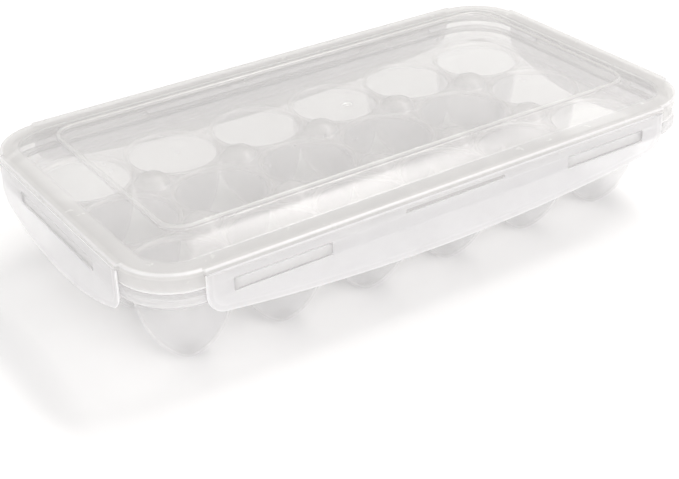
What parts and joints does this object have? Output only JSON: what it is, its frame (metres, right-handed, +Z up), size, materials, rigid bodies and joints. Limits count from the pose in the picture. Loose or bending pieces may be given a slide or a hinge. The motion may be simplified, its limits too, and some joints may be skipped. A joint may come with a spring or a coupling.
{
  "type": "egg holder tray",
  "caption": "Lidded egg holder tray with a grid of deep round cups under a shallow raised lid, closed by hinged latches on all sides.",
  "frame": {"origin": "bottom centre of the closed tray, on the plane of the cup feet, midway between the latches", "axes": "+X along the long side of the tray; +Y from the front long side to the back long side; +Z up, out of the cups and through the lid"},
  "size_m": [0.3116, 0.1716, 0.0712],
  "materials": {
    "tray_plastic": "smooth translucent milky polypropylene",
    "lid_plastic": "smooth translucent milky polypropylene, frostier on the flange",
    "latch_plastic": "frosted translucent polypropylene"
  },
  "bodies": {
    "tray": {"egg_cup_a1": "tray_plastic", "egg_cup_a2": "tray_plastic", "egg_cup_a3": "tray_plastic", "egg_cup_a4": "tray_plastic", "egg_cup_a5": "tray_plastic", "egg_cup_a6": "tray_plastic", "egg_cup_b1": "tray_plastic", "egg_cup_b2": "tray_plastic", "egg_cup_b3": "tray_plastic", "egg_cup_b4": "tray_plastic", "egg_cup_b5": "tray_plastic", "egg_cup_b6": "tray_plastic", "egg_cup_c1": "tray_plastic", "egg_cup_c2": "tray_plastic", "egg_cup_c3": "tray_plastic", "egg_cup_c4": "tray_plastic", "egg_cup_c5": "tray_plastic", "egg_cup_c6": "tray_plastic", "divider_posts": "tray_plastic", "tray_rim": "tray_plastic"},
    "lid": {"lid": "lid_plastic"},
    "latch_front": {"latch_front": "latch_plastic"},
    "latch_back": {"latch_back": "latch_plastic"},
    "latch_left": {"latch_left": "latch_plastic"},
    "latch_right": {"latch_right": "latch_plastic"}
  },
  "joints": [
    {"name": "lid_lift", "type": "slide", "parent": "tray", "child": "lid", "axis": [0, 0, 1], "range_m": [0, 0.09]},
    {"name": "latch_front_hinge", "type": "hinge", "parent": "lid", "child": "latch_front", "pos_m": [0, -0.0852, 0.0608], "axis": [-1, 0, 0], "range_deg": [0, 120]},
    {"name": "latch_back_hinge", "type": "hinge", "parent": "lid", "child": "latch_back", "pos_m": [0, 0.0852, 0.0608], "axis": [1, 0, 0], "range_deg": [0, 120]},
    {"name": "latch_left_hinge", "type": "hinge", "parent": "lid", "child": "latch_left", "pos_m": [-0.1552, 0, 0.0608], "axis": [0, 1, 0], "range_deg": [0, 120]},
    {"name": "latch_right_hinge", "type": "hinge", "parent": "lid", "child": "latch_right", "pos_m": [0.1552, 0, 0.0608], "axis": [0, -1, 0], "range_deg": [0, 120]}
  ]
}
